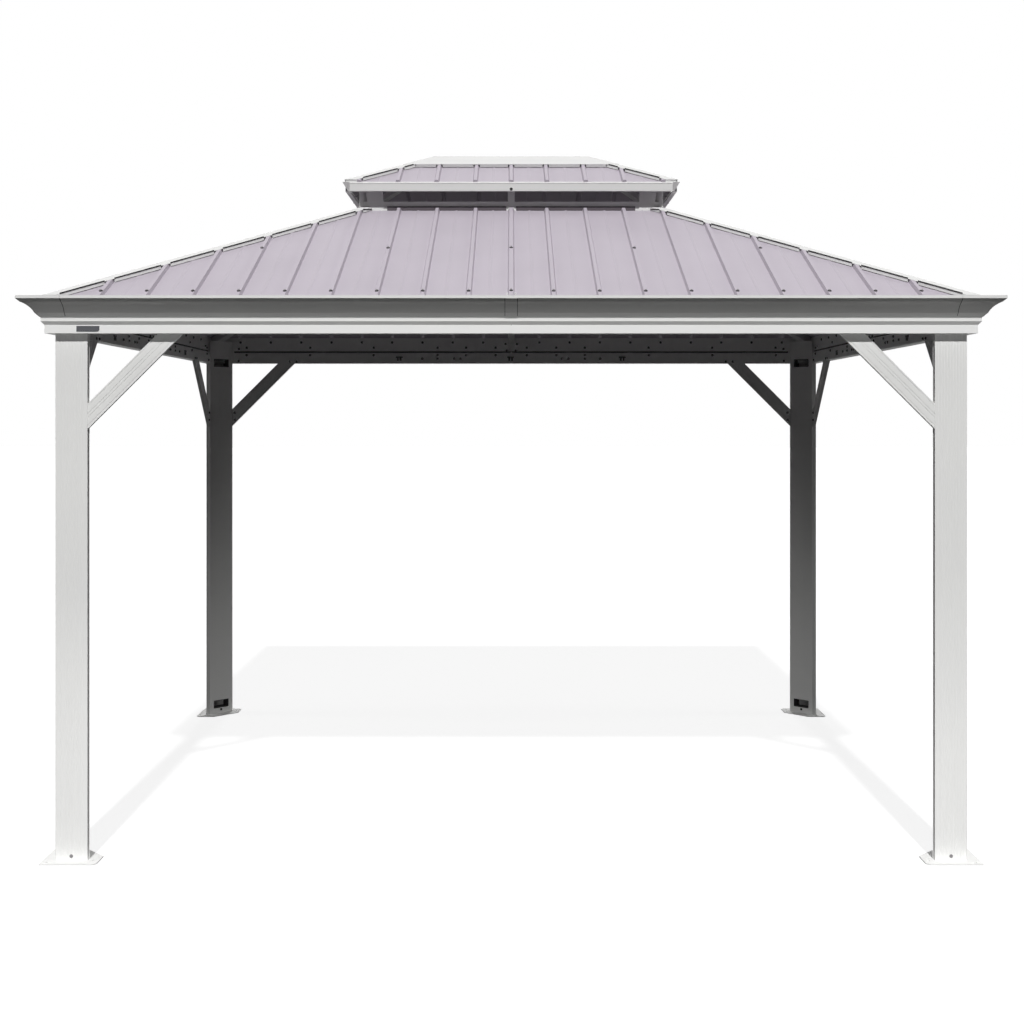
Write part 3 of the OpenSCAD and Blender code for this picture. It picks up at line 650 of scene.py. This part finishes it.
ribCap = makeRibCap(upperRoof)
hipEnd = makeBar(*upperRoof["hipEndMm"], steelCoatPaintedShade)
for side, (run, out, half, reach) in sides.items():
    ears = half - upperRoof["foot"]
    seats = [meet(onSide(side, along, upperRoof["boltFrom"], upperRoof["boltHigh"]), -out,
                  "upper_fascia_rails", "upper_fascia_corners") for along in (-ears, 0, ears)]
    setOut(side + "_fascia_bolts", bolt, [seat for seat in seats if seat])
    crests = [meet(onSide(side, along, upperRoof["onCrest"], lookFrom["above"]), down,
                   "upper_" + side + "_roof")
              for along in [0] + bothWays(ribsOf(side, ears - upperRoof["capMm"][0]))]
    setOut(side + "_rib_caps", ribCap, [crest for crest in crests if crest])
    spans = []
    for end in (-1, 1):
        middle = end * (ears - upperRoof["hipEndWide"] / 2)
        over = meet(onSide(side, middle, upperRoof["foot"], lookFrom["above"]), down, "upper_hip_caps")[0]
        top = over.z / mm - 2 * hipShadowSeal["capThick"]
        corners = [onSide(side, end * (ears - away), upperRoof["hipEndInside"], top)
                   for away in (0, upperRoof["hipEndWide"])]
        spans.append((*corners[::-end], out))
    layBars(side + "_hip_ends", hipEnd, spans)
print("upper roof closures and bolts set")

# Foam closures at the foot of the vent rails, their dark tone painted shade under the upper roof, and dark
# seals on the joint of beam and gutter, a painted shadow line above the beam

ventFoam = {"barMm": (3.4, 19, 0.8), "inside": 1042.8, "foot": 2604, "fromMiddle": 22, "fromCorner": 112}
# the dark joint seal is a painted shadow line on the gutter's inner wall just above the beam's top edge
jointShadowSeal = {"barMm": (3, 8, 1), "high": 2047, "top": 2051.5, "lookAlong": 300, "fromCorner": 135,
             "fromMiddle": 1}
foam = makeBar(*ventFoam["barMm"], foamCoatPaintedShade)
joint = makeBar(*jointShadowSeal["barMm"], rubberAndPaintedShade)
for side, (run, out, half, reach) in sides.items():
    wall = meet(onSide(side, jointShadowSeal["lookAlong"], lookFrom["inside"], jointShadowSeal["high"]), out,
                side + "_gutter")[0]
    foams, joints = [], []
    for sign in (-1, 1):
        foamTop = ventFoam["foot"] + ventFoam["barMm"][1]
        foamEnds = [ventFoam["fromMiddle"], half - ventFoam["inside"] - ventFoam["fromCorner"]]
        foams.append((*[onSide(side, sign * along, ventFoam["inside"], foamTop)
                        for along in foamEnds[::sign]], out))
        jointEnds = [jointShadowSeal["fromMiddle"], half - jointShadowSeal["fromCorner"]]
        joints.append((*[onSide(side, sign * along, insideOf(side, wall), jointShadowSeal["top"])
                         for along in jointEnds[::-sign]], -out))
    layBars(side + "_vent_foam_painted_shade", foam, foams)
    layBars(side + "_joint_painted_shadow_seals", joint, joints)
print("vent foam and joint seals set")

# Feet of the centre rafters on the gutter, straps behind the joint of the beam halves, and the folded
# top edge of the fascia

rafterFoot = {"barMm": (2, 40, 0.8), "heights": (2053, 2138), "lookAlong": 40, "lookHigh": 2090}
beamStrap = {"barMm": (1.6, 12, 0.5), "heights": (1985, 2044), "lookAlong": 40, "lookHigh": 2018}
fasciaEdge = {"barMm": (1.5, 7, 0.5), "insideFace": 3.4, "aboveTop": 1.6, "fromCorner": 23, "lookAlong": 40}
rafterPlate = makeBar(*rafterFoot["barMm"], steelCoatPaintedShade)
strap = makeBar(*beamStrap["barMm"], frameCoat)
foldedEdge = makeBar(*fasciaEdge["barMm"], frameCoat)
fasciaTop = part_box("upper_fascia_rails")[1][2] / mm
uprightBars = (  # ending of the name, sizes, pattern, node behind it, slot
    ("_rafter_feet", rafterFoot, rafterPlate, "_gutter", "inner_frame"),
    ("_beam_straps", beamStrap, strap, "_beam", "frame_paint"),
)
for side, (run, out, half, reach) in sides.items():
    for ending, size, pattern, wallNode, slotName in uprightBars:
        wall = meet(onSide(side, size["lookAlong"], lookFrom["inside"], size["lookHigh"]), out,
                    side + wallNode)[0]
        ends = [onSide(side, size["barMm"][1] / 2, insideOf(side, wall), high) for high in size["heights"]]
        layBars(side + ending, pattern, [(*ends, -out)])
    face = meet(onSide(side, fasciaEdge["lookAlong"], upperRoof["boltFrom"], upperRoof["boltHigh"]), -out,
                "upper_fascia_rails")[0]
    inside = insideOf(side, face)
    ends = [onSide(side, along, inside + fasciaEdge["insideFace"], fasciaTop + fasciaEdge["aboveTop"])
            for along in bothWays([half - inside - fasciaEdge["fromCorner"]])]
    layBars(side + "_fascia_edge", foldedEdge, [(*ends, (out - down).normalized())])
print("rafter feet, beam straps and fascia edges set")

# Dark strips in the seams between the gutters and their corner pieces, and beside the splice covers, where
# they are a painted shadow line along the cover's edges

seamDarkStrip = {"fromCorner": 53.5, "lookFromCorner": 58,  # the gutter's outline is read beside the seam
            "spliceEdge": 23.2, "spliceLook": 25,
            "wideMm": 1.7, "thickMm": 1.5, "proudMm": 0.4,
            "heights": (2046, 2052, 2058, 2066, 2075, 2084, 2092, 2098, 2103, 2106)}


def makeSeamDarkStrip(side, along, lookAlong, size):
    # a strip drawn up the outside of the gutter, from its foot to its rim
    run, out, half, reach = sides[side]
    line = [meet(onSide(side, lookAlong, lookFrom["outside"], high), -out, side + "_gutter")[0]
            + out * size["proudMm"] * mm for high in size["heights"]]
    middle = line[0] + run * (along - lookAlong) * mm
    halfWide = size["wideMm"] / 2 * mm
    strip = startPiece(bpy.ops.mesh.primitive_plane_add, size=size["wideMm"] * mm,
                       location=middle - out * halfWide, rotation=(0, 0, math.atan2(run.y, run.x)))
    bpy.ops.object.transform_apply(location=True, rotation=True)
    bpy.ops.object.mode_set(mode="EDIT")
    bpy.ops.mesh.select_all(action="DESELECT")
    mesh = bmesh.from_edit_mesh(strip.data)
    for vertex in mesh.verts:
        vertex.select_set((vertex.co - middle).dot(out) < -halfWide)
    bmesh.update_edit_mesh(strip.data)
    bpy.ops.mesh.delete(type="VERT")  # leaves the edge across the seam
    bpy.ops.mesh.select_all(action="SELECT")
    for low, high in zip(line, line[1:]):
        pushOut(*(high - low) / mm)
    bpy.ops.mesh.select_all(action="SELECT")
    bpy.ops.mesh.normals_make_consistent(inside=False)
    bpy.ops.object.mode_set(mode="OBJECT")
    finishWith(strip, "SOLIDIFY", thickness=size["thickMm"] * mm, offset=0)
    strip.data.materials.append(rubberAndPaintedShade)
    return strip


for side, (run, out, half, reach) in sides.items():
    seams = [(half - seamDarkStrip["fromCorner"], half - seamDarkStrip["lookFromCorner"])]
    if side in ("front", "back"):
        seams.append((seamDarkStrip["spliceEdge"], seamDarkStrip["spliceLook"]))
    strips = [makeSeamDarkStrip(side, sign * along, sign * look, seamDarkStrip)
              for along, look in seams for sign in (-1, 1)]
    keepPiece(joinPieces(side + "_seam_dark_strips", strips))
print("seam seals set")

# Hooks for a curtain along the inside of the beams

curtainHook = {"barMm": (38, 8, 4), "legMm": (9, 16, 4), "legAt": 8, "noseMm": 4, "edgeMm": 0.6,
               "high": 2018, "along": (0, -635, 635), "besideJoint": 3}


def makeHook(size):
    # a crossbar with two legs hanging from it, each with a nose at its foot; Z is out of the wall, Y up
    barTall, legTall = size["barMm"][1], size["legMm"][1]
    crossbar = startBlock(size["barMm"], (0, 0, size["barMm"][2] / 2))
    parts = [crossbar]
    for across in bothWays([size["legAt"]]):
        leg = startBlock(size["legMm"], (across, -(barTall + legTall) / 2, size["legMm"][2] / 2))
        bpy.ops.object.mode_set(mode="EDIT")
        pickFaces(lambda centre, normal: normal.y < -facing)
        pushOut(0, -size["noseMm"], 0)
        pickFaces(lambda centre, normal: normal.z > facing and centre.y < -(barTall / 2 + legTall) * mm)
        pushOut(0, 0, size["noseMm"])
        bpy.ops.object.mode_set(mode="OBJECT")
        parts.append(leg)
    for part in parts:
        bpy.context.view_layer.objects.active = part
        finishWith(part, "BEVEL", width=size["edgeMm"] * mm)
        part.data.materials.append(rubberAndPaintedShade)
    return joinPieces("hook", parts)


hook = makeHook(curtainHook)
for side, (run, out, half, reach) in sides.items():
    alongs = [along + curtainHook["besideJoint"] for along in curtainHook["along"]
              if abs(along) < half - frameBolts["cornerInset"]]
    seats = [meet(onSide(side, along, lookFrom["inside"], curtainHook["high"]), out, side + "_beam")
             for along in alongs]
    setOut(side + "_curtain_hooks", hook, [seat for seat in seats if seat])
print("curtain hooks set")

# Dark rubber sleeves that line the slots of the post covers, painted shade that keeps the slots black, and a
# screw under each lower slot

slotShadeSleeve = {"wideMm": 90, "tallMm": 38, "deepMm": 46, "wallMm": 1.6, "rimMm": 2.5, "proudMm": 1,
              "highs": (57, 1983), "lookAbove": 30, "screwHigh": 24, "lookFrom": 600}


def makeSleeve(size):
    # a tube open at both ends with a rim round its mouth; Z is out of the cover, Y up
    sleeve = startBlock((size["wideMm"], size["tallMm"], size["deepMm"]),
                        (0, 0, size["proudMm"] - size["deepMm"] / 2))
    bpy.ops.object.mode_set(mode="EDIT")
    pickFaces(lambda centre, normal: abs(normal.z) > facing)
    bpy.ops.mesh.delete(type="FACE")
    pickEdges(lambda one, other: one.z > 0 and other.z > 0)
    pushOut(0, 0, 0)
    bpy.ops.transform.resize(value=(1 + 2 * size["rimMm"] / size["wideMm"],
                                    1 + 2 * size["rimMm"] / size["tallMm"], 1))
    bpy.ops.object.mode_set(mode="OBJECT")
    finishWith(sleeve, "SOLIDIFY", thickness=size["wallMm"] * mm, offset=-1)
    sleeve.data.materials.append(rubberAndPaintedShade)
    return joinPieces("sleeve", [sleeve])


sleeve = makeSleeve(slotShadeSleeve)
mouths, coverSeats = [], []
for signX in (-1, 1):
    for signY in (-1, 1):
        way = Vector((signX, signY, 0))
        start = Vector((signX * halfLong, signY * halfDeep, 0)) - way * slotShadeSleeve["lookFrom"]
        for high in slotShadeSleeve["highs"]:
            look = (start + Vector((0, 0, high + slotShadeSleeve["lookAbove"]))) * mm
            face, out = meet(look, way, "post_covers")
            mouths.append((Vector((face.x, face.y, high * mm)), out))
        coverSeats.append((Vector((face.x, face.y, slotShadeSleeve["screwHigh"] * mm)), out))
setOut("slot_sleeves_painted_shade", sleeve, mouths)
setOut("cover_screws", bolt, coverSeats)
print("slot sleeves set")

# Blank plate on the front band

namePlate = {"sizeMm": (86, 1.6, 21), "middle": (-1581, 1999.5), "cutMm": 6, "rimMm": 1.6, "sunkMm": 0.5}


def makePlate(size):
    # one lower corner cut off, a rim round a sunk field
    start = onSide("front", size["middle"][0], lookFrom["outside"], size["middle"][1])
    seat = meet(start, -sides["front"][1], "front_beam")[0]
    plate = startBlock(size["sizeMm"], seat / mm - Vector((0, size["sizeMm"][1] / 2, 0)))
    bpy.ops.object.mode_set(mode="EDIT")
    pickEdges(lambda one, other: all(end.x > seat.x and end.z < seat.z for end in (one, other)))
    bpy.ops.mesh.bevel(offset=size["cutMm"] * mm, segments=1)
    pickFaces(lambda centre, normal: normal.y < -facing)
    bpy.ops.mesh.inset(thickness=size["rimMm"] * mm)
    bpy.ops.transform.translate(value=(0, size["sunkMm"] * mm, 0))
    bpy.ops.object.mode_set(mode="OBJECT")
    plate.data.materials.append(plateCoat)
    return joinPieces("name_plate", [plate])


keepPiece(makePlate(namePlate))
print("blank plate set")

for pattern in (screw, bolt, paleBolt, seal, ribCap, hipEnd, foam, joint, rafterPlate, strap, foldedEdge,
                hook, sleeve):
    bpy.data.objects.remove(pattern)
